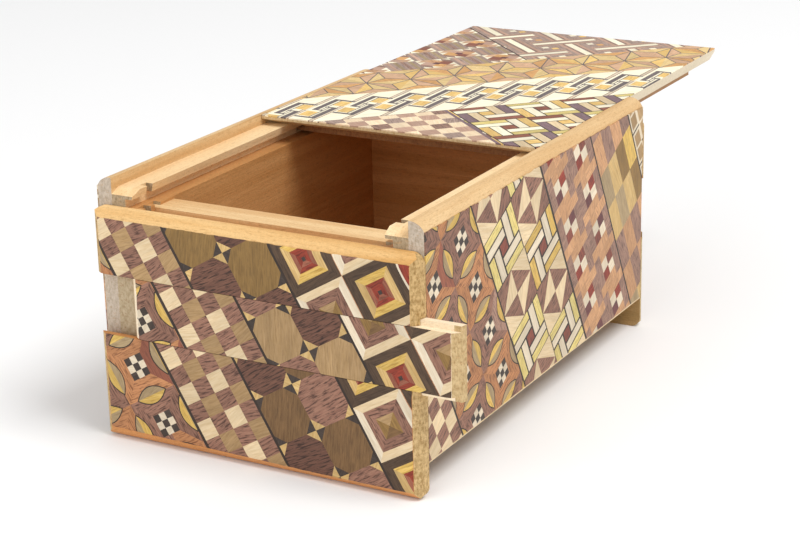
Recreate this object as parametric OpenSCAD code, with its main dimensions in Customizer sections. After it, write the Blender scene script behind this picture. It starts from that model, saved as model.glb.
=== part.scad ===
// Secret box of the sliding-panel kind, standing opened: both end panels are lowered,
// their keys are slid aside and the lid is drawn back along its rails.
// X runs across the near end, Y from the near end to the far end, Z up.

/* [Carcase] */
// Overall width across the veneered sides
body_w = 109; // [104:1:120]
// Length of the side boards
body_l = 151; // [146:1:165]
// Height of the side boards
body_h = 69.6; // [69.4:0.1:74]
// Thickness of a side board with its veneer
side_t = 5.2; // [5:0.1:6]
// Thickness of every marquetry sheet
veneer_t = 0.4; // [0.3:0.1:0.6]
// Radius of the hand-rounded outer edges
edge_r = 4.5; // [3.5:0.1:4.6]
// Radius of the end panels' corners, seen from the front
corner_r = 3.5; // [2:0.5:5]

/* [Compartment] */
// Thickness of the inner side boards
inner_t = 10; // [9:0.5:12]
// Height of the inner side boards' top edge
inner_top = 60.9; // [60.6:0.1:61.3]
// Thickness of the inner end walls
end_wall_t = 9.6; // [8:0.2:12]
// Height of the inner end walls' top edge
end_wall_top = 60; // [58:0.2:60.6]
// Depth from the carcase end to the inner end wall
end_wall_in = 7.2; // [7:0.1:8]
// Thickness of the base board
base_t = 4.6; // [3:0.2:6]
// Thickness of the compartment floor board
floor_t = 2; // [1.5:0.5:4]

/* [Lid] */
// Thickness of the lid plate with its veneer
lid_t = 3.3; // [3:0.1:3.6]
// How far the lid is drawn back
lid_open = 80.5; // [0:0.5:120]
// Height of the lid's wide runner board
runner_t = 1.4; // [1.2:0.1:1.5]
// Distance from each end of the lid to its core and runner
runner_in = 13; // [13:1:20]
// Thickness left at the lid's bevelled ends
lid_lip_t = 1.2; // [0.8:0.1:2]
// Length of the bevel under each end of the lid
lid_bevel = 5; // [2:0.5:8]

/* [Lid rails] */
// Width of the ledge that the lid slides on
rail_w = 7.7; // [7:0.1:9]
// Thickness of the ledge over the runner's slot
rail_lip_t = 2.5; // [2:0.1:2.6]
// Depth of the runner's slot under the ledge
rail_slot = 2.9; // [2:0.1:4]
// Width of the saw cut near each end of a rail
saw_w = 2.8; // [2:0.1:3]
// Depth of that saw cut
saw_d = 2.5; // [1.5:0.1:3]

/* [End panels] */
// Thickness of an end panel's strips with their veneer
panel_t = 4.8; // [4.7:0.1:5.4]
// Height of an end panel
panel_h = 72; // [71:0.5:72]
// How far an end panel drops
panel_drop = 9.4; // [9.2:0.1:9.8]
// Height of the lower strip, up to the key
lower_h = 33.2; // [30:0.2:36]
// Height of the key between the two strips
key_h = 18.9; // [16:0.1:20]
// How far the key slides
key_slide = 12.3; // [11:0.1:14]
// Depth of the lip that covers the key's flange
lip_t = 2.2; // [2:0.1:2.4]
// How far the key's flange reaches behind each lip
flange_h = 1.7; // [1:0.1:2]

/* [Lock] */
// Width of the key's lock peg
peg_w = 10; // [8:0.5:12]
// Height of the key's lock peg
peg_h = 6; // [5:0.2:6.4]
// Where the lock peg's left side lies when the key is home
peg_x = 40; // [30:1:44]
// How deep the lock peg reaches into the inner end wall
peg_reach = 4; // [3:0.1:5]

/* [Hidden] */
$fn = 64;
fit = 0.25;
plane_gap = 0.2;
runner_gap = 0.3;
rest_gap = 0.1;
past = 1;

panel_over = (panel_h - body_h) / 2;
panel_z = -panel_over - panel_drop;
key_z0 = lower_h;
key_z1 = lower_h + key_h;
peg_z = (key_z0 + key_z1) / 2;

rail_top = body_h - lid_t - rest_gap;
rail_low = rail_top - rail_lip_t;
rail_x = side_t + rail_w;
rail_undercut = 0.6;
rail_end_drop = 1.5;
rail_end_run = 3.5;
slot_x = rail_x - rail_slot;
lid_len = body_l - 2 * plane_gap;
lid_y = plane_gap + lid_open;
lid_under = body_h - lid_t;
runner_z = rail_low - runner_gap - runner_t;

inner_x = side_t + inner_t;
end_wall_y = end_wall_in + end_wall_t;
base_top = veneer_t + base_t;

slider_clear = 0.6;
slider_t = end_wall_in - slider_clear;
slider_gap = 0.4;
slider_low = 5;
slider_top_gap = 0.5;
slider_high = rail_top - slider_top_gap + panel_over;
guide_y = 2.4;
guide_w = 2.8;
guide_d = 2.6;
tongue_y = end_wall_in - rest_gap;
channel_play = 0.6;

low_edge_r = edge_r - 0.5;
key_gap = 0.15;
wood_y = [-panel_t + veneer_t, past];
sheet_y = [-panel_t - past, -panel_t + veneer_t];

far_y = lid_y + lid_len;
origin_y = (far_y - panel_t) / 2;

// ---- frame: origin under the middle of the standing box's bounding box ----

module at_stand() {
    translate([-body_w / 2, -origin_y, -panel_z]) children();
}

module far_turn() {
    translate([body_w, body_l, 0]) rotate([0, 0, 180]) children();
}

module right_side() {
    translate([body_w, 0, 0]) mirror([1, 0, 0]) children();
}

module span(x, y, z) {
    translate([x[0], y[0], z[0]]) cube([x[1] - x[0], y[1] - y[0], z[1] - z[0]]);
}

// ---- side boards ----

module side_outline() {
    square([side_t, body_h - edge_r]);
    translate([edge_r, 0]) square([side_t - edge_r, body_h]);
    translate([edge_r, body_h - edge_r]) circle(edge_r);
}

module side_blank() {
    translate([0, body_l, 0]) rotate([90, 0, 0]) linear_extrude(body_l) side_outline();
}

module side_board() {
    intersection() {
        side_blank();
        span([veneer_t, side_t], [-past, body_l + past], [-past, body_h + past]);
    }
}

module side_veneer() {
    intersection() {
        side_blank();
        span([-past, veneer_t], [-past, body_l + past], [-past, body_h + past]);
    }
}

// ---- lid rails: a ledge with an undercut slot, its ends eased and saw cut ----

module rail_outline() {
    polygon([
        [side_t, inner_top], [slot_x, inner_top], [slot_x, rail_low],
        [rail_x - rail_undercut, rail_low], [rail_x, rail_top], [side_t, rail_top]
    ]);
}

module rail_end_cuts() {
    translate([side_t - past, 0, 0]) rotate([90, 0, 90]) linear_extrude(rail_w + 2 * past)
        polygon([
            [-past, rail_top - rail_end_drop - rail_end_drop * past / rail_end_run],
            [rail_end_run, rail_top], [rail_end_run, rail_top + past], [-past, rail_top + past]
        ]);
    span([rail_x - saw_d, rail_x + past], [tongue_y, tongue_y + saw_w], [inner_top - past, body_h]);
}

module lid_rail() {
    difference() {
        translate([0, body_l, 0]) rotate([90, 0, 0]) linear_extrude(body_l) rail_outline();
        rail_end_cuts();
        translate([0, body_l, 0]) mirror([0, 1, 0]) rail_end_cuts();
    }
}

// ---- compartment ----

module guide_cuts() {
    span([inner_x - guide_d, inner_x + past], [guide_y, guide_y + guide_w], [-past, inner_top + past]);
    span([inner_x - saw_d, inner_x + past], [tongue_y, tongue_y + saw_w], [-past, inner_top + past]);
}

module inner_side() {
    difference() {
        span([side_t, inner_x], [0, body_l], [veneer_t, inner_top]);
        guide_cuts();
        translate([0, body_l, 0]) mirror([0, 1, 0]) guide_cuts();
    }
}

module lock_channels() {
    home = [peg_x - fit, peg_x + peg_w + key_slide + fit];
    gate = [peg_x + key_slide - fit, peg_x + peg_w + key_slide + fit];
    depth = [end_wall_in - past, end_wall_in + peg_reach + fit];
    low = panel_z + peg_z - peg_h / 2 - fit;
    high = panel_z + panel_drop + peg_z + peg_h / 2 + fit;
    span(gate, depth, [low, high]);
    span(home, depth, [low, low + peg_h + 2 * fit + channel_play]);
    span(home, depth, [high - peg_h - 2 * fit, high]);
}

module end_wall() {
    tongue = saw_d - rest_gap;
    difference() {
        union() {
            span([inner_x, body_w - inner_x], [end_wall_in, end_wall_y], [veneer_t, end_wall_top]);
            span([inner_x - tongue, body_w - inner_x + tongue],
                 [end_wall_in, end_wall_in + saw_w - plane_gap], [veneer_t, end_wall_top]);
        }
        lock_channels();
    }
}

module base_board() {
    color("burlywood") at_stand()
        span([inner_x, body_w - inner_x], [end_wall_y, body_l - end_wall_y], [veneer_t, base_top]);
}

module base_veneer() {
    color("rosybrown") at_stand()
        span([side_t, body_w - side_t], [end_wall_in, body_l - end_wall_in], [0, veneer_t]);
}

module floor_board() {
    color("peru") at_stand()
        span([inner_x, body_w - inner_x], [end_wall_y, body_l - end_wall_y],
             [base_top, base_top + floor_t]);
}

// ---- end panels: heights are measured from the panel's own bottom edge ----

module plan_outline() {
    front = edge_r - panel_t;
    translate([0, front]) square([body_w, -plane_gap - front]);
    translate([edge_r, -panel_t]) square([body_w - 2 * edge_r, panel_t - plane_gap]);
    translate([edge_r, front]) circle(edge_r);
    translate([body_w - edge_r, front]) circle(edge_r);
}

module plan_block(z) {
    intersection() {
        translate([0, 0, z[0]]) linear_extrude(z[1] - z[0]) plan_outline();
        span([-past, body_w + past], [-panel_t - past, -plane_gap], z);
    }
}

module side_curve() {
    intersection() {
        union() {
            translate([-panel_t, low_edge_r]) square([panel_t, panel_h - low_edge_r - edge_r]);
            translate([edge_r - panel_t, 0]) square([panel_t - edge_r, panel_h]);
            translate([low_edge_r - panel_t, 0]) square([panel_t - low_edge_r, panel_h - edge_r]);
            translate([low_edge_r - panel_t, low_edge_r]) circle(low_edge_r);
            translate([edge_r - panel_t, panel_h - edge_r]) circle(edge_r);
        }
        translate([-panel_t, 0]) square([panel_t, panel_h]);
    }
}

module front_outline() {
    translate([corner_r, 0]) square([body_w - 2 * corner_r, panel_h]);
    translate([0, corner_r]) square([body_w, panel_h - 2 * corner_r]);
    for (x = [corner_r, body_w - corner_r], z = [corner_r, panel_h - corner_r])
        translate([x, z]) circle(corner_r);
}

module panel_blank() {
    intersection() {
        plan_block([0, panel_h]);
        rotate([90, 0, 90]) linear_extrude(body_w) side_curve();
        rotate([90, 0, 0]) linear_extrude(panel_t) front_outline();
    }
}

module panel_slice(y, z) {
    intersection() {
        panel_blank();
        span([-past, body_w + past], y, z);
    }
}

module upper_strip() {
    difference() {
        panel_slice(wood_y, [key_z1, panel_h + past]);
        span([-past, body_w + past], [lip_t - panel_t, past], [key_z1 - past, key_z1 + flange_h]);
    }
}

module lower_strip() {
    difference() {
        panel_slice(wood_y, [-past, key_z0]);
        span([-past, body_w + past], [lip_t - panel_t, past], [key_z0 - flange_h, key_z0 + past]);
    }
}

module slider() {
    side = inner_x + slider_gap;
    reach = guide_d - slider_gap / 2;
    peg_slot_x = [peg_x - fit, peg_x + peg_w + key_slide + fit];
    peg_slot_z = [peg_z - peg_h / 2 - fit, peg_z + peg_h / 2 + fit];
    difference() {
        union() {
            span([side, body_w - side], [-plane_gap, slider_t], [slider_low, slider_high]);
            span([inner_x - reach, body_w - inner_x + reach],
                 [guide_y + fit, guide_y + guide_w - fit], [slider_low, slider_high]);
        }
        span(peg_slot_x, [-past, end_wall_in], peg_slot_z);
    }
}

// ---- keys, drawn in the place that they have when slid aside ----

module key_body() {
    union() {
        intersection() {
            plan_block([key_z0 + key_gap, key_z1 - key_gap]);
            span([-past, body_w + past], [-panel_t + veneer_t, -plane_gap - key_gap], [0, panel_h]);
        }
        intersection() {
            plan_block([key_z0 - flange_h + key_gap, key_z1 + flange_h - key_gap]);
            span([-past, body_w + past], [lip_t + key_gap - panel_t, -plane_gap - key_gap], [0, panel_h]);
        }
    }
}

module key_sheet() {
    intersection() {
        plan_block([key_z0 + key_gap, key_z1 - key_gap]);
        span([-past, body_w + past], sheet_y, [0, panel_h]);
    }
}

module key_peg() {
    span([peg_x, peg_x + peg_w], [-plane_gap - key_gap, end_wall_in + peg_reach],
         [peg_z - peg_h / 2, peg_z + peg_h / 2]);
}

module near_panel_place() {
    at_stand() translate([0, 0, panel_z]) children();
}

module far_panel_place() {
    at_stand() far_turn() translate([0, 0, panel_z]) children();
}

module slid() {
    translate([key_slide, 0, 0]) children();
}

// ---- lid ----

module lid_outline() {
    polygon([
        [0, body_h - lid_lip_t], [lid_bevel, lid_under], [lid_len - lid_bevel, lid_under],
        [lid_len, body_h - lid_lip_t], [lid_len, body_h - veneer_t], [0, body_h - veneer_t]
    ]);
}

module lid_plate() {
    x = side_t + fit;
    color("burlywood") at_stand() translate([x, lid_y, 0])
        rotate([90, 0, 90]) linear_extrude(body_w - 2 * x) lid_outline();
}

module lid_veneer() {
    x = side_t + fit;
    color("tan") at_stand()
        span([x, body_w - x], [lid_y, lid_y + lid_len], [body_h - veneer_t, body_h]);
}

module lid_core() {
    x = rail_x + runner_gap;
    color("burlywood") at_stand()
        span([x, body_w - x], [lid_y + runner_in, lid_y + lid_len - runner_in],
             [runner_z + runner_t, lid_under]);
}

module lid_runner() {
    x = slot_x + runner_gap;
    color("peru") at_stand()
        span([x, body_w - x], [lid_y + runner_in, lid_y + lid_len - runner_in],
             [runner_z, runner_z + runner_t]);
}

// ---- one module per sub-part ----

module side_board_left() { color("navajowhite") at_stand() side_board(); }
module side_board_right() { color("navajowhite") at_stand() right_side() side_board(); }
module side_veneer_left() { color("rosybrown") at_stand() side_veneer(); }
module side_veneer_right() { color("rosybrown") at_stand() right_side() side_veneer(); }
module lid_rail_left() { color("wheat") at_stand() lid_rail(); }
module lid_rail_right() { color("wheat") at_stand() right_side() lid_rail(); }
module inner_side_left() { color("peru") at_stand() inner_side(); }
module inner_side_right() { color("peru") at_stand() right_side() inner_side(); }
module end_wall_near() { color("burlywood") at_stand() end_wall(); }
module end_wall_far() { color("burlywood") at_stand() far_turn() end_wall(); }
module near_upper_strip() { color("tan") near_panel_place() upper_strip(); }
module near_lower_strip() { color("tan") near_panel_place() lower_strip(); }
module near_slider() { color("wheat") near_panel_place() slider(); }
module near_upper_veneer() { color("sienna") near_panel_place() panel_slice(sheet_y, [key_z1, panel_h]); }
module near_lower_veneer() { color("sienna") near_panel_place() panel_slice(sheet_y, [0, key_z0]); }
module near_key() { color("wheat") near_panel_place() slid() key_body(); }
module near_key_veneer() { color("sienna") near_panel_place() slid() key_sheet(); }
module near_key_peg() { color("peru") near_panel_place() slid() key_peg(); }
module far_upper_strip() { color("tan") far_panel_place() upper_strip(); }
module far_lower_strip() { color("tan") far_panel_place() lower_strip(); }
module far_slider() { color("wheat") far_panel_place() slider(); }
module far_upper_veneer() { color("sienna") far_panel_place() panel_slice(sheet_y, [key_z1, panel_h]); }
module far_lower_veneer() { color("sienna") far_panel_place() panel_slice(sheet_y, [0, key_z0]); }
module far_key() { color("wheat") far_panel_place() slid() key_body(); }
module far_key_veneer() { color("sienna") far_panel_place() slid() key_sheet(); }
module far_key_peg() { color("peru") far_panel_place() slid() key_peg(); }

side_board_left();
side_board_right();
side_veneer_left();
side_veneer_right();
lid_rail_left();
lid_rail_right();
inner_side_left();
inner_side_right();
end_wall_near();
end_wall_far();
base_board();
base_veneer();
floor_board();
near_upper_strip();
near_lower_strip();
near_slider();
near_upper_veneer();
near_lower_veneer();
near_key();
near_key_veneer();
near_key_peg();
far_upper_strip();
far_lower_strip();
far_slider();
far_upper_veneer();
far_lower_veneer();
far_key();
far_key_veneer();
far_key_peg();
lid_plate();
lid_veneer();
lid_core();
lid_runner();
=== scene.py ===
"""Wooden puzzle box: the inlaid sheets, the wood of every board, the floor, the light and the camera."""

import math
import random

import bpy
from mathutils import Matrix, Vector, noise
from mathutils.geometry import delaunay_2d_cdt


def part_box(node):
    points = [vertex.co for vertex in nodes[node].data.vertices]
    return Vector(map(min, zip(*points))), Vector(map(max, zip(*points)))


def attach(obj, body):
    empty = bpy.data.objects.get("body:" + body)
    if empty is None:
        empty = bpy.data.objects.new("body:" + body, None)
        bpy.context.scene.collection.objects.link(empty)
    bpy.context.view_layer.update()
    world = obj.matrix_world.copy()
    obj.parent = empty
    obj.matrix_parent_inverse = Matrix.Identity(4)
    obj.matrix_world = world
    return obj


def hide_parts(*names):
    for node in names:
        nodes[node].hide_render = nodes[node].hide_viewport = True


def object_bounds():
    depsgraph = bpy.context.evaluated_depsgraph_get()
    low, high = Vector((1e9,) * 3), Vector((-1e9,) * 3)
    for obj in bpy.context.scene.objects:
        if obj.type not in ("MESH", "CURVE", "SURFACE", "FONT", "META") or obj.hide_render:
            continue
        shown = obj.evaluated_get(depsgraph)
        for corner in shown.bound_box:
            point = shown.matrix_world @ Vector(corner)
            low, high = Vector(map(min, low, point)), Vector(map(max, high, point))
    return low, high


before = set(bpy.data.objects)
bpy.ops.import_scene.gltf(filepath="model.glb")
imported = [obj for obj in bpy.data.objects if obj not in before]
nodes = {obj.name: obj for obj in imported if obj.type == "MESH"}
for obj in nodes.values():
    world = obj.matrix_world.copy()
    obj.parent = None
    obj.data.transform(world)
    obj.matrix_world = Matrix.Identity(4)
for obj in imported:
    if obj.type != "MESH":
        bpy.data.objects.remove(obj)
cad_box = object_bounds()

MM = 0.001

# ---------------------------------------------------------------- woods


def tint(code):
    """A colour written as six hex digits, as linear RGBA."""
    channels = [int(code[i : i + 2], 16) / 255 for i in (0, 2, 4)]
    linear = [c / 12.92 if c <= 0.04045 else ((c + 0.055) / 1.055) ** 2.4 for c in channels]
    return (*linear, 1.0)


def add(tree, kind, inputs=None, **settings):
    """Adds one shader node, with its settings, and its inputs given as values or as sockets to link."""
    n = tree.nodes.new(kind)
    for key, value in settings.items():
        setattr(n, key, value)
    for key, value in (inputs or {}).items():
        if isinstance(value, bpy.types.NodeSocket):
            tree.links.new(value, n.inputs[key])
        else:
            n.inputs[key].default_value = value
    return n


def shader(name, roughness):
    """A new material with one Principled shader."""
    material = bpy.data.materials.new(name)
    material.use_nodes = True
    tree = material.node_tree
    tree.nodes.clear()
    bsdf = add(tree, "ShaderNodeBsdfPrincipled", {"Roughness": roughness, "Specular IOR Level": 0.3})
    end = add(tree, "ShaderNodeOutputMaterial")
    tree.links.new(bsdf.outputs[0], end.inputs[0])
    return material, tree, bsdf


def stretched_noise(tree, where, scale, detail=3.0, rough=0.55, distortion=0.0):
    """Noise drawn out along the grain: scale holds how many features there are per unit along each axis."""
    at = add(tree, "ShaderNodeMapping", {"Vector": where, "Scale": scale})
    n = add(tree, "ShaderNodeTexNoise", {"Vector": at.outputs[0], "Scale": 1.0, "Detail": detail,
                                         "Roughness": rough, "Distortion": distortion})
    return n.outputs["Fac"]


def ramp(tree, fac, stops):
    """Colours by position, with stops of (position, colour)."""
    n = add(tree, "ShaderNodeValToRGB", {"Fac": fac})
    points = n.color_ramp.elements
    points[0].position, points[0].color = stops[0]
    points[1].position, points[1].color = stops[-1]
    for position, colour in stops[1:-1]:
        points.new(position).color = colour
    return n.outputs["Color"]


def between(tree, fac, low, high, to_low=0.0, to_high=1.0):
    """Maps low..high to to_low..to_high, and holds it there outside."""
    n = add(tree, "ShaderNodeMapRange", {"Value": fac, "From Min": low, "From Max": high,
                                         "To Min": to_low, "To Max": to_high})
    return n.outputs[0]


def mix(tree, fac, a, b):
    """Mixes a and b, which are colours or sockets."""
    n = add(tree, "ShaderNodeMix", data_type="RGBA")
    for socket, value in ((n.inputs[0], fac), (n.inputs[6], a), (n.inputs[7], b)):
        if isinstance(value, bpy.types.NodeSocket):
            tree.links.new(value, socket)
        else:
            socket.default_value = value
    return n.outputs[2]


def finish_wood(tree, bsdf, colour, rough_from, roughness, height, strength, depth):
    """Links the colour, a roughness that varies between two values, and a fine bump of depth metres."""
    tree.links.new(colour, bsdf.inputs["Base Color"])
    tree.links.new(between(tree, rough_from, 0.3, 0.7, *roughness), bsdf.inputs["Roughness"])
    bump = add(tree, "ShaderNodeBump", {"Strength": strength, "Distance": depth, "Height": height})
    tree.links.new(bump.outputs[0], bsdf.inputs["Normal"])


# Each inlay wood: light and dark tone of its fibres, the colour of its pores, and how strongly the pores show.
WOODS = {
    "cream": ("E7D1AC", "DABF94", "B8986A", 0.25),
    "white": ("E6D9C2", "D8C5A7", "BCA078", 0.20),
    "olive": ("B8976C", "A28256", "7E603E", 0.35),
    "khaki": ("83633F", "6B4F31", "4C3620", 0.45),
    "moss": ("987744", "826335", "5F4726", 0.40),
    "sage": ("B39C78", "9C845F", "7A6344", 0.35),
    "purple": ("A27863", "855D4D", "472D25", 0.90),
    "walnut": ("7A5443", "5E3F33", "2C1C16", 0.90),
    "mauve": ("B08B78", "8F6D5D", "5F4438", 0.80),
    "brown": ("5F4A38", "4C392A", "2E2016", 0.55),
    "yellow": ("E0BE6C", "CCA34C", "96702F", 0.50),
    "straw": ("DABB80", "C6A062", "A07B48", 0.35),
    "orange": ("C68B5E", "AC754B", "6E4126", 0.80),
    "apricot": ("D6A67C", "C08E62", "946440", 0.55),
    "red": ("A2432F", "843323", "44150E", 0.65),
    "russet": ("965443", "793D2F", "42201A", 0.70),
    "plum": ("7C4A48", "633838", "3A2022", 0.60),
    "lemon": ("E6D48E", "D4BC6C", "9C853C", 0.55),
    "rust": ("A4654D", "8A4F3B", "5E3325", 0.50),
    "blush": ("CBA892", "B8907A", "94705C", 0.35),
    "taupe": ("B89E90", "9C8376", "6E574C", 0.60),
    "gold": ("F3CF86", "E3B864", "B5863E", 0.40),
    "honey": ("E3B072", "CF985A", "9C6634", 0.45),
    "peach": ("DDB592", "CBA07C", "9E744E", 0.40),
    "blond": ("EBCF96", "DCBB7A", "B08C4C", 0.35),
    "milk": ("FFF8E0", "F8ECCA", "DCC698", 0.20),
    "black": ("4C4039", "3A302A", "211B18", 0.40),
    "shell": ("FCE6C6", "F2D6AE", "D0AE82", 0.30),
    "dusk": ("94797C", "7A6065", "54404A", 0.50),
    "slate": ("7A6E6C", "645A58", "453D3B", 0.45),
    "line": ("42352D", "332822", "1D1613", 0.30),
}


def inlay_wood(name):
    """Wood of one inlaid tile: its grain runs along the map Grain, and tone differs from tile to tile."""
    light, dark, pore, pores = WOODS[name]
    material, tree, bsdf = shader("inlay_" + name, 0.5)
    grain = add(tree, "ShaderNodeUVMap", uv_map="Grain").outputs[0]
    tone = add(tree, "ShaderNodeAttribute", attribute_name="tone").outputs["Fac"]
    fibres = stretched_noise(tree, grain, (0.14, 1.7, 1.0), 4.0, 0.65)
    figure = stretched_noise(tree, grain, (0.05, 0.42, 1.0), 2.0, 0.5, 0.6)
    vessels = stretched_noise(tree, grain, (0.26, 2.0, 1.0), 3.0, 0.6)
    base = ramp(tree, fibres, [(0.34, tint(dark)), (0.66, tint(light))])
    shade = between(tree, figure, 0.3, 0.7, 0.90, 1.08)
    shaded = add(tree, "ShaderNodeHueSaturation", {"Color": base, "Value": shade}).outputs[0]
    toned = add(tree, "ShaderNodeHueSaturation", {"Color": shaded, "Value": tone}).outputs[0]
    colour = mix(tree, between(tree, vessels, 0.50, 0.62, 0.0, pores), toned, tint(pore))
    finish_wood(tree, bsdf, colour, vessels, (0.62, 0.44), fibres, 0.35, 0.00012)
    return material


def board_wood(name, axis, light, dark, end_light, end_dark, pore, turn, worn=None):
    """Bare board: long grain along one axis, and rough, greyer end grain on the faces across that axis.

    turn says how far a face has to turn towards the axis before it shows end grain. worn is a stretch of x: on
    faces across y, the ends outside it show end grain too.
    """
    material, tree, bsdf = shader(name, 0.6)
    place = add(tree, "ShaderNodeTexCoord")
    where, normal = place.outputs["Object"], place.outputs["Normal"]

    def scale(along, across):
        return tuple(along if i == axis else across for i in range(3))

    fibres = stretched_noise(tree, where, scale(60, 1500), 4.0, 0.6)
    figure = stretched_noise(tree, where, scale(9, 190), 3.0, 0.5, 0.8)
    flecks = stretched_noise(tree, where, scale(500, 2600), 3.0, 0.6)
    speckle = stretched_noise(tree, where, (1800, 1800, 1800), 3.0, 0.8)
    long_base = ramp(tree, figure, [(0.34, tint(dark)), (0.62, tint(light))])
    long_fine = mix(tree, between(tree, fibres, 0.35, 0.65, 0.0, 0.30), long_base, tint(dark))
    long_fleck = mix(tree, between(tree, flecks, 0.54, 0.68, 0.0, 0.40), long_fine, tint(pore))
    lift = between(tree, speckle, 0.3, 0.7, 0.90, 1.10)
    long_grain = add(tree, "ShaderNodeHueSaturation", {"Color": long_fleck, "Value": lift}).outputs[0]

    def bands(scale, lean, distortion):
        at = add(tree, "ShaderNodeMapping", {"Vector": where, "Rotation": lean})
        wave = add(tree, "ShaderNodeTexWave", bands_direction="Z", inputs={
            "Vector": at.outputs[0], "Scale": scale, "Distortion": distortion,
            "Detail": 2.0, "Detail Scale": 0.6})
        return between(tree, wave.outputs["Fac"], 0.55, 1.0)

    rings = bands(150.0, (0.9, 0.75, 0.0), 1.6)
    saw_marks = bands(260.0, (-0.25, -0.35, 0.0), 0.8)
    rough = stretched_noise(tree, where, (1500, 1500, 700), 4.0, 0.75)
    torn = stretched_noise(tree, where, (700, 700, 1900), 3.0, 0.7)
    end_base = ramp(tree, rough, [(0.36, tint(end_dark)), (0.58, tint(end_light))])
    end_ring = mix(tree, between(tree, rings, 0.0, 1.0, 0.0, 0.30), end_base, tint(end_dark))
    end_sawn = mix(tree, between(tree, saw_marks, 0.0, 1.0, 0.0, 0.25), end_ring, tint(end_light))
    end_grain = mix(tree, between(tree, torn, 0.56, 0.68, 0.0, 0.45), end_sawn, tint(pore))

    def math_node(operation, a, b=0.0):
        return add(tree, "ShaderNodeMath", {0: a, 1: b}, operation=operation).outputs[0]

    def facing(which, low, high):
        part = add(tree, "ShaderNodeSeparateXYZ", {"Vector": normal}).outputs[which]
        return between(tree, math_node("ABSOLUTE", part), low, high)

    is_end = facing(axis, *turn)
    if worn:
        x = add(tree, "ShaderNodeSeparateXYZ", {"Vector": where}).outputs[X]
        past = math_node("ADD", math_node("GREATER_THAN", x, worn[1]), math_node("LESS_THAN", x, worn[0]))
        is_end = math_node("MAXIMUM", is_end, math_node("MULTIPLY", past, facing(Y, 0.2, 0.4)))
    colour = mix(tree, is_end, long_grain, end_grain)
    height = mix(tree, is_end, fibres, rough)
    finish_wood(tree, bsdf, colour, fibres, (0.72, 0.52), height, 0.5, 0.0003)
    return material


X, Y = 0, 1
# Each bare wood: the axis its grain follows, two tones of long grain, two of end grain, and its flecks.
BOARDS = {
    "side_board": (Y, "E6C594", "CDA26C", "CBBCAA", "AA9984", "B08450"),
    "panel_wood": (X, "EEC88E", "D09C58", "D2B07A", "94733F", "A06E30"),
    "lower_wood": (X, "D8985E", "C2824A", "D6B682", "9C7C48", "946034"),
    "foot_wood": (X, "C8A470", "AE8C58", "D2BC90", "A68C5E", "8C6A3C"),
    "key_wood": (X, "FBEBD0", "F1DAB6", "D2B788", "A88858", "D2A878"),
    "rail_wood": (Y, "FADFB2", "EDC894", "B8A284", "8C7858", "C89860"),
    "inner_wood": (Y, "D09C64", "BE8850", "C2B092", "A18C6A", "94683A"),
    "wall_wood": (X, "F3D3A0", "DBB07A", "B89060", "946C40", "B88850"),
    "back_wood": (X, "D09860", "BA8248", "B89060", "946C40", "966030"),
    "slider_wood": (X, "D8A670", "C79258", "B89060", "946C40", "A07040"),
    "lid_wood": (Y, "E6D8C0", "D2C2A6", "DCC498", "BC9E70", "DCCBA8"),
    "runner_wood": (Y, "BF9468", "AA7C52", "A2744A", "805634", "704824"),
}
USES = {
    "side_board": ["side_board_left", "side_board_right"],
    "rail_wood": ["lid_rail_left", "lid_rail_right"],
    "inner_wood": ["inner_side_left", "inner_side_right", "base_board", "floor_board"],
    "wall_wood": ["end_wall_near"],
    "back_wood": ["end_wall_far"],
    "panel_wood": ["near_upper_strip", "far_upper_strip"],
    "lower_wood": ["near_lower_strip"],
    "foot_wood": ["far_lower_strip"],
    "slider_wood": ["near_slider", "far_slider", "near_key_peg", "far_key_peg"],
    "key_wood": ["near_key", "far_key"],
    "lid_wood": ["lid_plate"],
    "runner_wood": ["lid_core", "lid_runner"],
}
ROUND_ENDED = ("panel_wood", "lower_wood", "foot_wood", "lid_wood")
ROUND_TURN, SQUARE_TURN = (0.25, 0.45), (0.6, 0.8)
KEY_FACE = (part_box("far_key_veneer")[0].x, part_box("near_key_veneer")[1].x)
for kind, names in USES.items():
    turn = ROUND_TURN if kind in ROUND_ENDED else SQUARE_TURN
    material = board_wood(kind, *BOARDS[kind], turn, KEY_FACE if kind == "key_wood" else None)
    for name in names:
        nodes[name].data.materials.clear()
        nodes[name].data.materials.append(material)

# ---------------------------------------------------------------- flat pattern geometry, in millimetres


def cut(poly, nx, ny, limit):
    """The part of a convex polygon where nx*x + ny*y is at most limit."""
    kept = []
    for i, (x, y) in enumerate(poly):
        px, py = poly[i - 1]
        here, before = nx * x + ny * y - limit, nx * px + ny * py - limit
        if (here <= 0) != (before <= 0):
            t = before / (before - here)
            kept.append((px + (x - px) * t, py + (y - py) * t))
        if here <= 0:
            kept.append((x, y))
    return kept


def area(poly):
    return 0.5 * sum(poly[i - 1][0] * y - x * poly[i - 1][1] for i, (x, y) in enumerate(poly))


def rect(x0, y0, x1, y1):
    return [(x0, y0), (x1, y0), (x1, y1), (x0, y1)]


def turned(poly, degrees, cx=0.0, cy=0.0):
    c, s = math.cos(math.radians(degrees)), math.sin(math.radians(degrees))
    return [(cx + x * c - y * s, cy + x * s + y * c) for x, y in poly]


def steps(start, pitch, low, high):
    """Every start + k * pitch whose cell touches low..high, with its k."""
    first = math.floor((low - start) / pitch) - 1
    last = math.ceil((high - start) / pitch) + 1
    return [(k, start + k * pitch) for k in range(first, last + 1)]


# Each pattern yields (polygon, wood, direction of the grain in degrees) over the box p0..p1, q0..q1.


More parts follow.
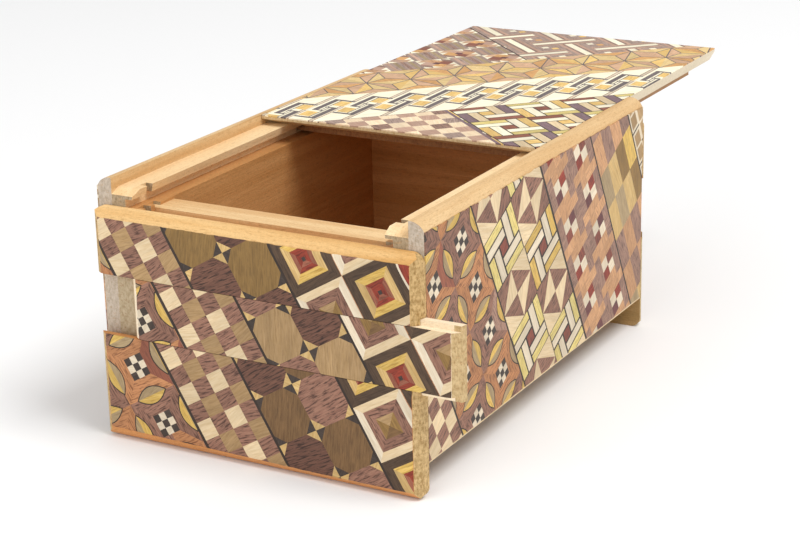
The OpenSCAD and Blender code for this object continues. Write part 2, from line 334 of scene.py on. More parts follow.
def checker(p0, p1, q0, q1, columns, phase, woods, side_q=None):
    """Squares in four woods, by odd and even column and row; a wood may be a list to choose from."""
    side = (p1 - p0) / columns
    tall = side_q or side
    for i in range(columns):
        for j, q in steps(phase, tall, q0, q1):
            wood = woods[(i % 2) + 2 * (j % 2)]
            if isinstance(wood, (list, tuple)):
                wood = wood[(i + 3 * j) % len(wood)]
            grain = (i * 37 + j * 53) % 30 - 15
            yield rect(p0 + i * side, q - tall / 2, p0 + (i + 1) * side, q + tall / 2), wood, grain


def nested(cx, cy, rings):
    """Mitred square frames inside one another; each ring is (outer half side, inner half side, four woods)."""
    for outer, inner, woods in rings:
        for k in range(4):
            poly = [(-outer, outer), (-inner, inner), (inner, inner), (outer, outer)]
            if inner <= 0:
                poly = [(-outer, outer), (0, 0), (outer, outer)]
            yield turned(poly[::-1], -90 * k, cx, cy), woods[k], -90 * k


def octagons(p0, p1, q0, q1, phase, cell, corner, faces, pins):
    """Octagons in turn from two sets of woods, with small pinwheels between them."""
    half = cell / 2
    for i in range(-1, 3):
        cp = p0 + cell * (i + 0.5)
        for j, q in steps(phase, cell, q0, q1):
            choice = faces[(i + j) % 2]
            wood = choice[(i * 2 + j) % len(choice)]
            flat = half - corner
            ring = [(half, -flat), (half, flat), (flat, half), (-flat, half),
                    (-half, flat), (-half, -flat), (-flat, -half), (flat, -half)]
            yield turned(ring, 0, cp, q + half), wood, 0 if wood in ("purple", "walnut") else 55
            for k in range(4):
                poly = [(0, 0), (corner, 0), (0, corner)]
                yield turned(poly, 90 * k, cp - half, q), pins[(i + j + k) % 2], 90 * k + 45


def pyramids(p0, p1, q0, q1, phase, side_q, dark, pale):
    """Two rows of mitred squares, dark and pale ones in turn."""
    side = (p1 - p0) / 2
    for i in range(2):
        cp = p0 + side * (i + 0.5)
        for j, q in steps(phase, side_q, q0, q1):
            yield from nested(cp, q + side_q / 2, (dark, pale)[(i + j) % 2])


def leaf(cx, cy, length, width, degrees, upper, lower):
    """A pointed leaf split along its length into two woods, with a thin dark outline."""
    half, bulge = length / 2, width / 2
    for grow, woods in ((0.35, ("line", "line")), (0.0, (upper, lower))):
        arc = [(x * (half + grow * 1.6) / 6, (bulge + grow) * (1 - (x / 6) ** 2)) for x in range(-6, 7)]
        yield turned(arc[::-1], degrees, cx, cy), woods[0], degrees + 8
        yield turned([(x, -y) for x, y in arc], degrees, cx, cy), woods[1], degrees - 8


def petals(p0, p1, q0, q1, right_edge, phase, cell, block, leaf_size, odd):
    """Two-coloured squares with mitred grain, a small checker block in each and leaves across their edges."""
    half, third = cell / 2, block / 3
    leaves = []
    for i, p in steps(right_edge - half, cell, p0, p1):
        for j, q in steps(phase, cell, q0, q1):
            even = (i + j + odd) % 2 == 0
            ground, deeper = ("orange", "rust") if even else ("purple", "mauve")
            second = deeper if (2 * i + j) % 5 == 0 else ground
            yield from nested(p, q, [(half, 0, (ground, second, ground, ground))])
            for a in range(3):
                for b in range(3):
                    x, y = p + (a - 1.5) * third, q + (b - 1.5) * third
                    yield rect(x, y, x + third, y + third), ("black", "white")[(a + b) % 2], 20 * a - 30 * b
            near, far = ("sage", "yellow") if even else ("yellow", "sage")
            leaves.append((p, q - half, 0, near, far))
            leaves.append((p - half, q, 90, far, near))
    for cx, cy, degrees, up, down in leaves:
        yield from leaf(cx, cy, leaf_size[0], leaf_size[1], degrees, up, down)


def windmill(cx, cy, half_p, half_q, core, strips, centre, gap=0.3):
    """Four bundles of strips that turn round a small square. Strips run from the inside out."""
    yield rect(cx - half_p, cy - half_q, cx + half_p, cy + half_q), "line", 0
    yield rect(cx - core + gap, cy - core + gap, cx + core - gap, cy + core - gap), centre, 35
    for k in range(4):
        woods = strips[k % len(strips)]
        reach = (half_p, half_q)[k % 2]
        depth = (half_q, half_p)[k % 2]
        wide = (depth - core) / len(woods)
        for n, wood in enumerate(woods):
            low = core + n * wide
            bar = rect(-reach + gap, low + gap * 0.6, core - gap, low + wide - gap * 0.6)
            yield turned(bar, -90 * k, cx, cy), wood, -90 * k


def hourglass(cx, cy, half_p, half_q, pale, dark):
    """Pale and dark triangles that meet in the middle of a cell, with its corners filled in."""
    top, right, low, left = (0, half_q), (half_p, 0), (0, -half_q), (-half_p, 0)
    inner = [(top, left, pale, 70), (right, top, dark, 0), (low, right, pale, 70), (left, low, dark, 0)]
    for a, b, wood, grain in inner:
        yield [(cx, cy), (cx + a[0], cy + a[1]), (cx + b[0], cy + b[1])], wood, grain
    corners = [(right, top, half_p, half_q, pale, -40), (top, left, -half_p, half_q, dark, 40),
               (left, low, -half_p, -half_q, pale, -40), (low, right, half_p, -half_q, dark, 40)]
    for a, b, x, y, wood, grain in corners:
        yield [(cx + a[0], cy + a[1]), (cx + x, cy + y), (cx + b[0], cy + b[1])], wood, grain


def mills(p0, p1, q0, q1, phase, side_q, core, odd):
    """Windmills and hourglasses in turn, two to a row."""
    half_p, half_q = (p1 - p0) / 4, side_q / 2
    for i in range(2):
        cp = p0 + half_p * (2 * i + 1)
        for j, q in steps(phase, side_q, q0, q1):
            if (i + j + odd) % 2:
                strips = [("white", "lemon" if j % 3 else "yellow")]
                yield from windmill(cp, q, half_p, half_q, core, strips, "russet", 0.48)
            else:
                yield from hourglass(cp, q, half_p, half_q, "cream", "purple")


def clusters(p0, p1, q0, q1, phase, side_q, rng):
    """Four small squares in the middle of each cell, pale and red, on blocks of apricot and mauve."""
    cell = (p1 - p0) / 2
    for i in range(2):
        cp = p0 + cell * (i + 0.5)
        for j, q in steps(phase, side_q, q0, q1):
            small, tall = cell / 4, side_q / 4
            for a in range(4):
                for b in range(4):
                    x, y = cp + (a - 2) * small, q + (b - 2) * tall
                    side, end = a in (0, 3), b in (0, 3)
                    if not side and not end:
                        wood = "white" if (a == 1) == (b == 2) else ("red", "russet", "plum")[(i + j + a) % 3]
                    elif side and not end:
                        wood = "mauve"
                    elif end and not side:
                        wood = "apricot"
                    else:
                        wood = "apricot" if (a == 0) == (b == 0) else "mauve"
                    yield rect(x, y, x + small, y + tall), wood, rng.choice((0, 20, 65, 90))


def lozenges(p0, p1, q0, q1, phase, side_q):
    """Four columns of blocks: two rows of yellow and green woods, then two of apricot and mauve."""
    wide = (p1 - p0) / 4
    for i in range(4):
        for j, q in steps(phase, side_q, q0, q1):
            if j % 4 < 2:
                wood = (("straw", "sage", "straw", "moss"), ("sage", "straw", "moss", "yellow"))[j % 4][i]
            else:
                wood = ("apricot", "mauve")[(i + j) % 2]
            yield rect(p0 + i * wide, q, p0 + (i + 1) * wide, q + side_q), wood, 75 + 9 * ((i + j) % 3)


def bricks(p0, p1, q0, q1, phase_p, phase_q, wide, tall):
    """Pale bars round olive bricks, with dark lines between the courses."""
    yield rect(p0, q0, p1, q1), "white", 90
    for i, p in steps(phase_p, wide, p0, p1):
        for j, q in steps(phase_q + (tall / 2 if i % 2 else 0), tall, q0, q1):
            yield rect(p + 0.7, q + 1.3, p + wide - 0.9, q + tall / 2 - 0.4), "olive", 80
            yield rect(p + 0.7, q + tall / 2 + 0.5, p + wide - 0.9, q + tall - 1.3), "olive", 100
            yield rect(p - 0.5, q - 0.3, p + wide, q + 0.3), "line", 0


def basket(p0, p1, q0, q1, phase_p, phase_q, side, core, sets):
    """A weave of windmills in two sets of woods in turn."""
    for i, p in steps(phase_p, side, p0, p1):
        for j, q in steps(phase_q, side, q0, q1):
            strips, centre = sets[(i + j) % 2]
            yield from windmill(p, q, side / 2, side / 2, core, strips, centre)


def line(p0, p1, q0, q1, wood="line"):
    """One strip of one wood."""
    yield rect(p0, q0, p1, q1), wood, 90


def star_grid(p0, p1, q0, q1, phase, side):
    """Hemp-leaf stars: equal triangles, each split into three from its middle, with thin dark rays."""
    rise, ray_half = side * math.sqrt(3) / 2, 0.22
    woods = ("honey", "blond", "peach", "gold", "blond", "peach")
    rays = []
    for i in range(-2, 3):
        pc = (p0 + p1) / 2 + i * rise
        for j, q in steps(phase + (side / 2 if i % 2 else 0), side, q0, q1):
            for flip in (1, -1):
                corners = [(pc, q), (pc, q + side), (pc + flip * rise, q + side / 2)]
                mid = (pc + flip * rise / 3, q + side / 2)
                for k in range(3):
                    a, b = corners[k], corners[(k + 1) % 3]
                    poly = [a, b, mid] if area([a, b, mid]) > 0 else [mid, b, a]
                    yield poly, woods[(k * 2 + (flip > 0) + j) % 6], 60 * k + 15
                    rays.append((a, mid))
                if i % 2 == 0:
                    rays.append((corners[0], corners[2]))
    for (ax, ay), (bx, by) in rays:
        n = math.hypot(bx - ax, by - ay)
        ox, oy = -(by - ay) / n * ray_half, (bx - ax) / n * ray_half
        yield [(ax + ox, ay + oy), (ax - ox, ay - oy), (bx - ox, by - oy), (bx + ox, by + oy)], "slate", 0


# One link of the chain in upright strips: left, bottom, right, top and wood, from the link's upper left corner.
LINK_LINES = [(-2.75, -2.4, "mauve"), (-2.4, -1.4, "white"), (-1.4, -1.05, "mauve")]
LINK = [(0, -15.5, 2.0, 0, "slate"), (0, -1.4, 8.0, 0, "slate"), (2.0, -15.5, 2.8, -1.4, "milk"),
        (2.8, -14.7, 3.2, -1.4, "slate"), (2.0, -15.5, 4.2, -14.5, "slate"), (3.2, -7.7, 7.3, -1.7, "gold"),
        (7.3, -7.7, 7.9, -1.2, "milk"),
        (5.0, -25.2, 7.0, -10.0, "slate"), (-0.9, -25.2, 7.0, -23.8, "slate"), (4.2, -23.8, 5.0, -10.8, "milk"),
        (3.8, -23.8, 4.2, -10.8, "slate"), (2.4, -11.0, 7.0, -10.0, "slate"), (-0.5, -23.2, 3.7, -17.2, "gold"),
        (-1.1, -23.9, -0.5, -17.2, "milk")]


def chain(p0, p1, q0, q1, lean, start, pitch):
    """Interlocked upright links on a pale ground, with yellow squares inside and pale lines behind."""
    yield rect(p0, q0, p1, q1), "milk", 90
    corners = [(start[0] + pitch[0] * k, start[1] + pitch[1] * k) for k in range(-4, 16)]
    parts = [(rect(x + left, y - 60, x + right, y + 30), wood)
             for x, y in corners for left, right, wood in LINK_LINES]
    parts += [(rect(x + left, y + bottom, x + right, y + top), wood)
              for x, y in corners for left, bottom, right, top, wood in LINK]
    for poly, wood in parts:
        yield turned(poly, -lean), wood, 90 - lean


def fret(p0, p1, q0, q1, phase_p, phase_q, wide, tall):
    """Single pale bars that turn from cell to cell, with pairs of small squares between them."""
    bars = ((3.6, 12.6, "blush"), (2.2, 12.1, "walnut"), (1.9, 12.1, "taupe"), (1.3, 12.0, "milk"))
    small = 1.2
    yield rect(p0, q0, p1, q1), "taupe", 0
    for i, p in steps(phase_p, wide, p0, p1):
        for j, q in steps(phase_q, tall, q0, q1):
            angle = 0 if (i + j) % 2 == 0 else 90
            for half, reach, wood in bars:
                yield turned(rect(-reach, -half, reach, half), angle, p, q), wood, angle
    for i, p in steps(phase_p + wide / 2, wide, p0, p1):
        for j, q in steps(phase_q + tall / 2, tall, q0, q1):
            for off, wood in ((-1.35, "milk"), (1.35, "honey" if (i + j) % 2 else "gold")):
                x, y = p + off, q + off
                yield rect(x - small, y - small, x + small, y + small), wood, 40


def medley(p0, p1, q0, q1, phase_p, phase_q, cell):
    """Four-petalled flowers in turn with patches of narrow strips."""
    half, core = cell / 2, cell / 10
    petal = [(0, 0), (half * 0.45, -half * 0.55), (half, 0), (half * 0.45, half * 0.55)]
    tip = [(half, 0), (half, half * 0.55), (half * 0.55, half), (half * 0.45, half * 0.5)]
    strips = ("taupe", "blush", "taupe", "sage", "taupe", "mauve", "taupe", "sage", "taupe")
    wide = cell / len(strips)
    for i, p in steps(phase_p, cell, p0, p1):
        for j, q in steps(phase_q, cell, q0, q1):
            if (i + j) % 2:
                for n, wood in enumerate(strips):
                    low = q - half + n * wide
                    yield rect(p - half, low, p + half, low + wide), wood, 0
                continue
            yield rect(p - half, q - half, p + half, q + half), "milk", 20
            for k in range(4):
                yield turned(petal, 90 * k, p, q), ("apricot", "blush", "honey", "rust")[(k + j) % 4], 90 * k
                yield turned(tip, 90 * k, p, q), ("peach", "mauve")[k % 2], 90 * k + 45
            yield turned(rect(-core, -core, core, core), 45, p, q), "plum", 0


# ---------------------------------------------------------------- sheets

SHEET_T = (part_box("near_lower_strip")[0].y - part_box("near_lower_veneer")[0].y) / MM
GAP = 0.002  # between a sheet and the wood under it
THINNEST = 0.02  # what is left of a sheet at a rounded edge
SMALLEST_TILE = 0.004  # square millimetres
OUTLINE_STEP = 0.8
FOLDS = (0.12, 0.30, 0.52, 0.76, 1.0)
ENDLESS = (-999.0, 999.0)
EDGE_R, LOW_R = 4.5, 4.0


def hidden_part(radius):
    """How far in from the edge a sheet on a rounded edge begins, so that it ends at its own back face."""
    return radius - math.sqrt(radius**2 - (radius - SHEET_T) ** 2)


# Kinds of edge: inset, radius, how far it wanders and, for a bottom edge, its rise towards its left end.
ROUND = (hidden_part(EDGE_R), EDGE_R, 0.22)
LOW = (hidden_part(LOW_R), LOW_R, 0.15, 1.3)
CUT = (0.0, 0.0, 0.0)
SANDED = (0.0, 0.0, 0.35)
ALL_CUT = (CUT,) * 4


class Sheet:
    """One inlaid sheet: tiles painted in order inside an outline, then made into one closed thin mesh."""

    def __init__(self, name, width, height, seed):
        self.name, self.w, self.h = name, width, height
        self.tiles = []
        self.rng = random.Random(seed)

    def lay(self, lean, pattern, low, high, *args, shift=(0.0, 0.0), reach=ENDLESS, skew=0.0, pivot=0.0):
        """Lays a band of a pattern that leans by lean degrees, from low to high across and over reach along.

        A skewed band is laid slightly out of square, about the line at pivot across it.
        """
        c, s = math.cos(math.radians(lean)), math.sin(math.radians(lean))
        corners = [(x - shift[0], y - shift[1]) for x in (0, self.w) for y in (0, self.h)]
        across = [x * c + y * s for x, y in corners]
        along = [-x * s + y * c for x, y in corners]
        if low > max(across) or high < min(across):
            return
        slack = abs(skew) * max(abs(low - pivot), abs(high - pivot))
        start, end = max(min(along) - slack, reach[0]), min(max(along) + slack, reach[1])
        for poly, wood, grain in pattern(low, high, start, end, *args):
            poly = cut(cut(cut(cut(poly, -1, 0, -low), 1, 0, high), 0, -1, -start), 0, 1, end)
            poly = [(p, q + skew * (p - pivot)) for p, q in poly]
            poly = [(p * c - q * s + shift[0], p * s + q * c + shift[1]) for p, q in poly]
            self.put(poly, wood, grain + lean)

    def put(self, poly, wood, grain):
        """Adds the part of a tile that lies on the sheet, over the tiles put there before."""
        for nx, ny, limit in ((-1, 0, 0), (0, -1, 0), (1, 0, self.w), (0, 1, self.h)):
            if len(poly) > 2:
                poly = cut(poly, nx, ny, limit)
        if len(poly) > 2 and abs(area(poly)) > SMALLEST_TILE:
            self.tiles.append((poly, wood, grain))

    def build(self, place, body, stands_for, edges=ALL_CUT, relief=None):
        """Turns the tiles into one mesh that rides on body and takes the place of the node stands_for.

        place(u, v, back) gives a point, and relief(u, v) is how far the face lies back there, if it does. edges
        has one kind of edge each for the left, right, bottom and top.
        """
        rng = self.rng
        outline = self.outline(edges)
        points, faces, lines = [], [], []

        def take(poly):
            start = len(points)
            points.extend(Vector(p) for p in poly)
            return list(range(start, start + len(poly)))

        for poly, _, _ in self.tiles:
            faces.append(take(poly if area(poly) > 0 else poly[::-1]))
        faces.append(take(outline))
        for (x0, y0), (x1, y1) in self.folds(edges):
            a = take([(x0, y0), (x1, y1)])
            lines.append((a[0], a[1]))
        flat, _, cells, _, _, sources = delaunay_2d_cdt(points, lines, faces, 4, 1e-5)
        last = len(self.tiles)
        tops, owners = [], []
        for cell, source in zip(cells, sources):
            if last in source and len(cell) > 2:
                owners.append(max((s for s in source if s < last), default=0))
                tops.append(list(cell))
        used = sorted({i for cell in tops for i in cell})
        index = {old: new for new, old in enumerate(used)}
        count = len(used)
        tops = [[index[i] for i in cell] for cell in tops]
        uv = [(flat[i][0], flat[i][1]) for i in used]
        verts = [place(u, v, relief(u, v) if relief else 0.0) for u, v in uv]
        verts += [place(u, v, SHEET_T - GAP) for u, v in uv]
        sides = {edge: owner for cell, owner in zip(tops, owners) for edge in zip(cell, cell[1:] + cell[:1])}
        rim = [(a, b) for a, b in sides if (b, a) not in sides]
        walls = [[b, a, a + count, b + count] for a, b in rim]
        backs = [[i + count for i in reversed(cell)] for cell in tops]
        mesh = bpy.data.meshes.new(self.name)
        mesh.from_pydata(verts, [], tops + walls + backs)
        used_woods = sorted({self.tiles[o][1] for o in owners})
        for wood in used_woods:
            mesh.materials.append(INLAY[wood])
        tile_tone = [rng.uniform(0.86, 1.10) for _ in self.tiles]
        tile_place = [(rng.uniform(0, 400), rng.uniform(0, 400)) for _ in self.tiles]
        tile_bend = [rng.uniform(-6, 6) for _ in self.tiles]
        layer = mesh.uv_layers.new(name="Grain")
        tone = mesh.attributes.new("tone", "FLOAT", "FACE")
        own = owners + [sides[edge] for edge in rim] + owners
        for polygon in mesh.polygons:
            _, wood, grain = self.tiles[own[polygon.index]]
            tile = own[polygon.index]
            polygon.material_index = used_woods.index(wood)
            tone.data[polygon.index].value = tile_tone[tile]
            c = math.cos(math.radians(grain + tile_bend[tile]))
            s = math.sin(math.radians(grain + tile_bend[tile]))
            ox, oy = tile_place[tile]
            for loop in polygon.loop_indices:
                u, v = uv[mesh.loops[loop].vertex_index % count]
                layer.data[loop].uv = (u * c + v * s + ox, -u * s + v * c + oy)
        mesh.validate()
        mesh.update()
        piece = bpy.data.objects.new(self.name, mesh)
        bpy.context.scene.collection.objects.link(piece)
        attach(piece, body)
        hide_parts(stands_for)

    def outline(self, edges):
        """The sheet's outline. An edge sanded by hand wanders a little, and the bottom one may slant."""
        left, right, bottom, top = edges
        inset = [edge[0] for edge in edges]
        slant = bottom[3] if len(bottom) > 3 else 0.0
        x0, x1 = inset[0], self.w - inset[1]
        y0, y1 = inset[2], self.h - inset[3]
        start = self.rng.uniform(0, 50)

        def wander(t, edge):
            slow, quick = noise.noise((t * 0.35, start, 0.0)), noise.noise((t * 1.3, start, 4.0))
            return edge[2] * (slow + 0.5 * quick + 0.6)

        pts = []
        n_u, n_v = max(1, int((x1 - x0) / OUTLINE_STEP)), max(1, int((y1 - y0) / OUTLINE_STEP))
        for i in range(n_u):
            t = x0 + (x1 - x0) * i / n_u
            pts.append((t, y0 + wander(t, bottom) + slant * max(0.0, 1 - t / (0.7 * self.w))))
        for i in range(n_v):
            t = y0 + (y1 - y0) * i / n_v
            pts.append((x1 - wander(t + 200, right), t))
        for i in range(n_u):
            t = x1 - (x1 - x0) * i / n_u
            pts.append((t, y1 - wander(t + 400, top)))
        for i in range(n_v):
            t = y1 - (y1 - y0) * i / n_v
            if t > y0 + slant + OUTLINE_STEP:
                pts.append((x0 + wander(t + 600, left), t))
        return pts

    def folds(self, edges):
        """Lines along which a face is divided so that it can follow a rounded edge."""
        for k, (inset, radius) in enumerate(edge[:2] for edge in edges):
            if not radius:
                continue
            for t in FOLDS:
                d = inset + (radius - inset) * t
                if k == 0:
                    yield (d, -1), (d, self.h + 1)
                elif k == 1:
                    yield (self.w - d, -1), (self.w - d, self.h + 1)
                elif k == 2:
                    yield (-1, d), (self.w + 1, d)
                else:
                    yield (-1, self.h - d), (self.w + 1, self.h - d)


def rounding(edges, width, height):
    """How far a rounded face lies behind its flat part, at (u, v)."""
    def depth(u, v):
        back = 0.0
        for distance, radius in zip((u, width - u, v, height - v), (edge[1] for edge in edges)):
            if radius and distance < radius:
                back = max(back, radius - math.sqrt(max(0.0, radius**2 - (radius - distance) ** 2)))
        return back
    return depth


INLAY = {name: inlay_wood(name) for name in WOODS}

# ---------------------------------------------------------------- end panels

PANEL_W = (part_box("near_lower_strip")[1].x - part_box("near_lower_strip")[0].x) / MM
PANEL_H = (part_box("near_upper_strip")[1].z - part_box("near_lower_strip")[0].z) / MM
PANEL_LEAN = 30
CHECKS = ("cream", "purple", "purple", "olive")

# Mitred squares from the outside in, as nested() takes them.
DARK_SQUARE = [(8.75, 5.75, ("brown",) * 4),
               (5.75, 3.4, ("yellow", "straw", "yellow", "straw")),
               (3.4, 2.0, ("red", "rust", "red", "rust")),
               (2.0, 0.6, ("red", "red", "rust", "red")),
               (0.6, 0, ("black",) * 4)]
PALE_SQUARE = [(8.75, 6.2, ("cream", "white", "cream", "white")),
               (6.2, 3.2, ("purple",) * 4),
               (3.2, 0, ("olive", "moss", "khaki", "moss"))]


def panel_bands(sheet, shift, lines, phases, faces):
    """The bands of an end panel. lines: where the dark lines lie; phases: where each band's cells start."""
    first, second, third, last = lines
    lean = PANEL_LEAN
    sheet.lay(lean, petals, -60, first, first - 0.7, phases[0], 18.85, 7.0, (11.3, 5.0), 0, shift=shift)
    sheet.lay(lean, checker, first, second, 4, phases[1], CHECKS, 5.83, shift=shift)
    sheet.lay(lean, octagons, second, third, phases[2], (third - second) / 2, 3.6,
              faces, ("straw", "black"), shift=shift)
    sheet.lay(lean, pyramids, third, last, phases[3], 17.3, DARK_SQUARE, PALE_SQUARE, shift=shift)
    sheet.lay(lean, line, last, last + 60, "red", shift=shift)
    for p, half, wood in zip(lines, (0.5, 0.45, 0.4, 0.3), ("line", "line", "line", "white")):
        sheet.lay(lean, line, p - half, p + half, wood, shift=shift)


def panel_place(end, strip):
    """Takes panel coordinates, from its lower left corner seen from outside, to the shared frame."""
    lo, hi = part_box(f"{end}_{strip}")
    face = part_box(f"{end}_lower_veneer")
    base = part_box(f"{end}_lower_strip")[0].z
    if end == "near":
        return lambda u, v, back: Vector((lo.x + u * MM, face[0].y + back * MM, base + v * MM))
    return lambda u, v, back: Vector((hi.x - u * MM, face[1].y - back * MM, base + v * MM))


for number, end in enumerate(("near", "far")):
    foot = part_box(f"{end}_lower_strip")[0].z
    low_top = (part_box(f"{end}_lower_veneer")[1].z - foot) / MM
    up_low = (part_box(f"{end}_upper_veneer")[0].z - foot) / MM
    key_low, key_top = [(corner.z - foot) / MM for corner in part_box(f"{end}_key_veneer")]
    # strip, its lowest and highest point, the dark lines, the bands' phases, its edges and the octagons' woods
    parts = [
        ("upper", up_low, PANEL_H, (33.2, 56.8, 88.0, 123.4), (11.6, 43.4, -14.1, 12.3),
         (ROUND, ROUND, CUT, ROUND), (("walnut",), ("moss",))),
        ("key", key_low, key_top, (33.7, 58.3, 88.1, 123.6), (12.9, 22.1, -11.4, -22.4),
         (ROUND, ROUND, CUT, CUT), (("purple", "walnut"), ("olive",))),
        ("lower", 0.0, low_top, (34.4, 58.2, 88.0, 123.5), (14.3, 0.5, -9.1, -22.2),
         (ROUND, ROUND, LOW, CUT), (("walnut", "purple"), ("khaki",))),
    ]
    for strip, low, high, lines, phases, edges, faces in parts:
        sheet = Sheet(f"{end}_{strip}_inlay", PANEL_W, high - low, 11 + number * 7 + len(strip))
        panel_bands(sheet, (0.0, -low), lines, phases, faces)
        body, board = (f"{end}_key", "key") if strip == "key" else (f"{end}_panel", "lower_strip")
        place, relief = panel_place(end, board), rounding(edges, sheet.w, sheet.h)
        sheet.build(lambda u, v, back, put=place, up=low: put(u, v + up, back), body, f"{end}_{strip}_veneer",
                    edges, lambda u, v, r=relief: min(r(u, v), SHEET_T - THINNEST))

# ---------------------------------------------------------------- sides

SIDE_LEAN = 27.5
SIDE_LINES = (18.2, 54.6, 94.6, 127.0, 153.5)
SIDE_CHECK = 5.6
for side, seed in (("right", 41), ("left", 43)):
    lo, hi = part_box(f"side_veneer_{side}")
    length, tall = (hi.y - lo.y) / MM, (hi.z - lo.z) / MM
    sheet = Sheet(f"side_inlay_{side}", length, tall, seed)
    first, second, third, fourth, fifth = SIDE_LINES
    squares = ("purple", "cream", "cream", "purple")
    sheet.lay(SIDE_LEAN, checker, first - 6 * SIDE_CHECK, first, 6, 0.8, squares, SIDE_CHECK)
    sheet.lay(SIDE_LEAN, petals, first, second, second - 0.2, 6.2, 18.05, 6.7, (10.8, 4.6), 1)
    sheet.lay(SIDE_LEAN, mills, second + 0.1, third, 2.4, 19.1, 2.5, 0)
    sheet.lay(SIDE_LEAN, clusters, third, fourth, -6.4, 16.2, sheet.rng)
    sheet.lay(SIDE_LEAN, lozenges, fourth, fifth, -36.3, 14.0)
    sheet.lay(SIDE_LEAN, bricks, fifth, 240.0, fifth + 0.4, -40.3, 5.6, 13.4)
    for p, half in zip(SIDE_LINES, (0.4, 0.35, 0.5, 0.35, 0.35)):
        sheet.lay(SIDE_LEAN, line, p - half, p + half)
    # A thin cream strip along the sheet's bottom edge: a painted highlight on the lower edge of the side.
    sheet.put(rect(0, 0, length, 0.4), "cream", 0)
    if side == "right":
        put = lambda u, v, back, a=lo, b=hi: Vector((b.x - back * MM, a.y + u * MM, a.z + v * MM))
    else:
        put = lambda u, v, back, a=lo, b=hi: Vector((a.x + back * MM, b.y - u * MM, a.z + v * MM))
    sheet.build(put, "carcase", f"side_veneer_{side}", (CUT, CUT, CUT, SANDED))

# ---------------------------------------------------------------- lid

LID_LEAN = -45.5
LID_CHECK = 5.87
FRET_P, STAR_P, CHAIN_P, WEAVE_P = -98.3, -70.2, -38.8, -58.4
FRET_Q, WEAVE_Q = 165.2, 119.6
ROSY = ("blush", "mauve", "blush", "taupe", "blush")
WEAVE = [([("cream", "dusk"), ("milk", "rust")], "gold"), ([("milk", "gold"), ("milk", "lemon")], "rust")]

lo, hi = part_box("lid_veneer")
sheet = Sheet("lid_inlay", (hi.x - lo.x) / MM, (hi.y - lo.y) / MM, 61)


def lid_band(pattern, low, high, *args, **how):
    """Lays one band of the lid's sheet."""
    sheet.lay(LID_LEAN, pattern, low, high, *args, shift=(-5.45, -80.7), **how)


lid_band(checker, -40.2, -40.2 + LID_CHECK * 12, 12, 104.4, (ROSY, "shell", "shell", ROSY), LID_CHECK,
         skew=0.05, pivot=-34)
lid_band(basket, WEAVE_P, 82, -30.2, 130.6, 18.9, 2.4, WEAVE, reach=(WEAVE_Q, 400), skew=0.075, pivot=-12)
lid_band(line, WEAVE_P, 60, "dusk", reach=(WEAVE_Q - 0.3, WEAVE_Q + 0.9), skew=0.075, pivot=-12)
lid_band(fret, -200, FRET_P, -121.4, 171.3, 15.8, 17.4, reach=(FRET_Q, 400), skew=0.06, pivot=-121)
lid_band(medley, -200, FRET_P, -104.5, 159.0, 12.5, reach=(-100, FRET_Q), skew=0.04, pivot=-121)
lid_band(line, -200, FRET_P, reach=(FRET_Q - 0.3, FRET_Q + 0.3), skew=0.04, pivot=-121)
lid_band(chain, STAR_P, CHAIN_P, LID_LEAN, (16.7, 108.7), (9.05, 8.95))
lid_band(star_grid, FRET_P, STAR_P, 103.4, 15.75)
lid_band(line, CHAIN_P - 0.15, CHAIN_P + 0.2, "walnut")
sheet.build(lambda u, v, back, a=lo, b=hi: Vector((a.x + u * MM, a.y + v * MM, b.z - back * MM)),
            "lid", "lid_veneer")

# ---------------------------------------------------------------- base

lo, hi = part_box("base_veneer")
sheet = Sheet("base_inlay", (hi.x - lo.x) / MM, (hi.y - lo.y) / MM, 71)
sheet.lay(PANEL_LEAN, checker, -100, 200, 24, 0.0, CHECKS, 12.5)
sheet.build(lambda u, v, back, a=lo, b=hi: Vector((b.x - u * MM, a.y + v * MM, a.z + back * MM)),
            "carcase", "base_veneer")

# ---------------------------------------------------------------- floor, light and camera

scene = bpy.context.scene
middle = (cad_box[0] + cad_box[1]) / 2
ground = cad_box[0].z

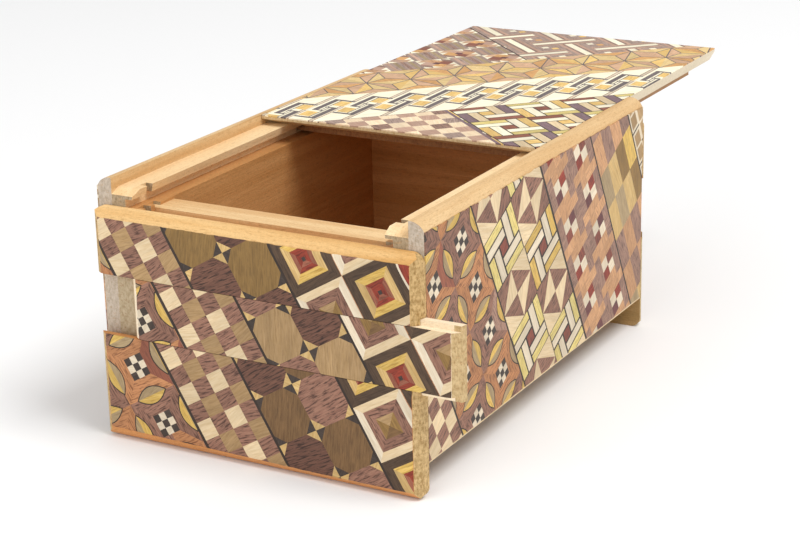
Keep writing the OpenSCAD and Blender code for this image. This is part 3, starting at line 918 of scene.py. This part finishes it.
FLOOR_REACH = 6.0
floor_mesh = bpy.data.meshes.new("floor")
corners = [(x, y, ground) for x, y in rect(-FLOOR_REACH, -FLOOR_REACH, FLOOR_REACH, FLOOR_REACH)]
floor_mesh.from_pydata(corners, [], [(0, 1, 2, 3)])
floor = bpy.data.objects.new("floor", floor_mesh)
scene.collection.objects.link(floor)
paper, tree, bsdf = shader("paper", 0.9)
bsdf.inputs["Base Color"].default_value = tint("F9F9F9")
floor_mesh.materials.append(paper)

world = bpy.data.worlds.new("studio")
scene.world = world
world.use_nodes = True
sky = world.node_tree.nodes["Background"]
sky.inputs["Color"].default_value = tint("FFFFFF")
sky.inputs["Strength"].default_value = 0.62


def softbox(name, offset, size, power):
    """A large white square lamp, placed from the object's middle and aimed at it."""
    data = bpy.data.lights.new(name, "AREA")
    data.shape, data.size, data.energy = "SQUARE", size, power
    lamp = bpy.data.objects.new(name, data)
    scene.collection.objects.link(lamp)
    lamp.location = middle + Vector(offset)
    lamp.rotation_mode = "QUATERNION"
    lamp.rotation_quaternion = Vector(offset).to_track_quat("Z", "Y")


softbox("key_light", (1.15, -0.1, 1.9), 1.0, 29.0)
softbox("front_fill", (-0.35, -1.4, 0.55), 1.2, 6.5)

CAMERA_AT = Vector((299.4, -561.63, 240.7)) * MM
CAMERA_TURN, CAMERA_DOWN, CAMERA_ROLL = 29.422, 18.653, -1.303
SENSOR, LENS = 36, 90.4725
turn, down, roll = map(math.radians, (CAMERA_TURN, CAMERA_DOWN, CAMERA_ROLL))
ahead = Vector((-math.sin(turn) * math.cos(down), math.cos(turn) * math.cos(down), -math.sin(down)))
right = Vector((math.cos(turn), math.sin(turn), 0))
above = right.cross(ahead)
tilt_right = right * math.cos(roll) + above * math.sin(roll)
tilt_above = above * math.cos(roll) - right * math.sin(roll)
camera_data = bpy.data.cameras.new("camera")
camera_data.sensor_width, camera_data.lens = SENSOR, LENS
camera_data.clip_start, camera_data.clip_end = 0.01, 50
camera = bpy.data.objects.new("camera", camera_data)
scene.collection.objects.link(camera)
camera.matrix_world = Matrix((tilt_right, tilt_above, -ahead)).transposed().to_4x4()
camera.location = CAMERA_AT
scene.camera = camera
scene.view_settings.view_transform = "Standard"
